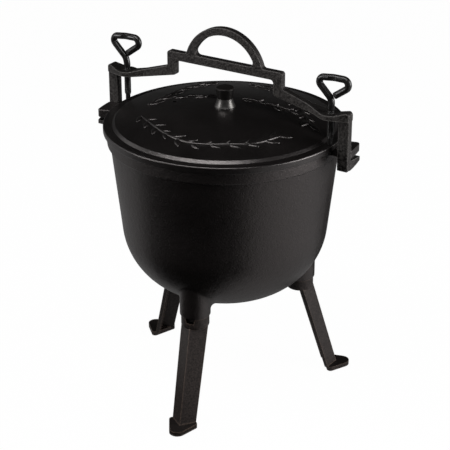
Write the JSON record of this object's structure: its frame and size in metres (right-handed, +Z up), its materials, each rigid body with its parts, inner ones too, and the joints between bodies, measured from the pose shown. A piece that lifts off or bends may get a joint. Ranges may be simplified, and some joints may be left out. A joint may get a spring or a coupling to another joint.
{
  "type": "footed cauldron with clamped lid",
  "caption": "Deep cast iron cauldron on slim splayed legs, with a domed lid held down by a turn-on yoke with carrying handle and hand-turned clamp screws.",
  "frame": {"origin": "on the floor under the pot's axis, at the centre of the circle through the feet", "axes": "+Z up along the pot's axis; +X through the right-hand lug of the rim; +Y away from the front leg"},
  "size_m": [0.3336, 0.3073, 0.4602],
  "materials": {
    "pot_iron": "seasoned black, fine cast grain, satin",
    "lid_iron": "seasoned black, fine cast grain, satin",
    "leg_iron": "black with a brown tone, rough cast, matt",
    "yoke_iron": "black, coarse cast grain, satin",
    "bright_steel": "turned steel, satin",
    "knob_black": "black, satin",
    "plain_steel": "plain zinc-grey steel",
    "screw_steel": "dark oiled steel rod"
  },
  "bodies": {
    "pot": {"pot": "pot_iron", "lid": "lid_iron", "knob_collar": "bright_steel", "knob": "knob_black", "knob_screw": "plain_steel", "knob_washer": "plain_steel", "leg_front": "leg_iron", "leg_right": "leg_iron", "leg_left": "leg_iron"},
    "yoke": {"yoke": "yoke_iron"},
    "clamp_screw_right": {"clamp_screw_right": "screw_steel"},
    "clamp_screw_left": {"clamp_screw_left": "screw_steel"}
  },
  "joints": [
    {"name": "yoke_turn", "type": "hinge", "parent": "pot", "child": "yoke", "pos_m": [0, 0, 0.4], "axis": [0, 0, 1], "range_deg": [-165.2, 0]},
    {"name": "clamp_screw_right_travel", "type": "slide", "parent": "yoke", "child": "clamp_screw_right", "axis": [0, 0, 1], "range_m": [0, 0.02]},
    {"name": "clamp_screw_left_travel", "type": "slide", "parent": "yoke", "child": "clamp_screw_left", "axis": [0, 0, 1], "range_m": [0, 0.02]}
  ]
}
